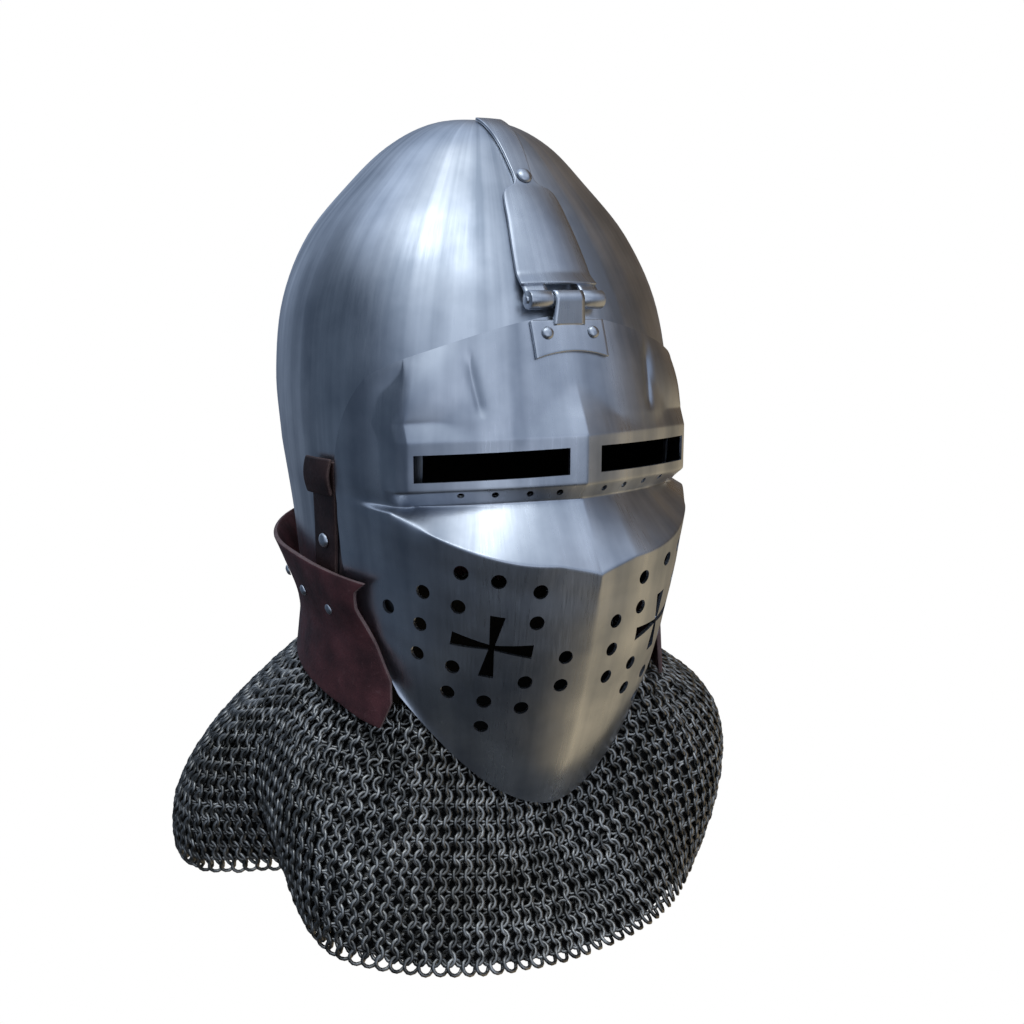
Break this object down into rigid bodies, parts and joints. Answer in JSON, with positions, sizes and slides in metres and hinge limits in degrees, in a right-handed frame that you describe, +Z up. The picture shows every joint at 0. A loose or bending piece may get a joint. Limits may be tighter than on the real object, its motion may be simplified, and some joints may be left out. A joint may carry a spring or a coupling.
{
  "type": "visored bascinet helmet with mail aventail",
  "caption": "Open-bottomed steel skull with a pointed face visor that lifts on a crown hinge, a leather collar band and a mail curtain that hangs over neck and shoulders.",
  "frame": {"origin": "centre of the skull's plan at the height of the eyes, so Z = 0 is the middle of the sight slits", "axes": "+Z up, the face looks along -Y, +X is the wearer's left"},
  "size_m": [0.333, 0.3014, 0.441],
  "materials": {
    "skull_steel": "hand polished, satin, bluish",
    "visor_steel": "hand polished, satin, bluish",
    "hinge_steel": "polished",
    "mail_steel": "dark, oiled",
    "oxblood_leather": "smooth, oxblood",
    "brown_leather": "worn, brown"
  },
  "bodies": {
    "helmet": {"skull": "skull_steel", "hinge_plate": "hinge_steel", "hinge_pin": "hinge_steel", "crown_rivet": "hinge_steel", "leather_band": "oxblood_leather", "side_strap_l": "brown_leather", "side_strap_r": "brown_leather", "strap_keeper_l": "brown_leather", "strap_keeper_r": "brown_leather", "strap_stud_l": "hinge_steel", "strap_stud_r": "hinge_steel", "aventail": "mail_steel", "band_rivet_l1": "hinge_steel", "band_rivet_l2": "hinge_steel", "band_rivet_l3": "hinge_steel", "band_rivet_l4": "hinge_steel", "band_rivet_l5": "hinge_steel", "band_rivet_r1": "hinge_steel", "band_rivet_r2": "hinge_steel", "band_rivet_r3": "hinge_steel", "band_rivet_r4": "hinge_steel", "band_rivet_r5": "hinge_steel"},
    "visor": {"visor": "visor_steel", "hinge_leaf": "hinge_steel", "leaf_rivet_l": "hinge_steel", "leaf_rivet_r": "hinge_steel"}
  },
  "joints": [
    {"name": "visor_hinge", "type": "hinge", "parent": "helmet", "child": "visor", "pos_m": [0, -0.08961, 0.0795], "axis": [-1, 0, 0], "range_deg": [0, 100]}
  ]
}
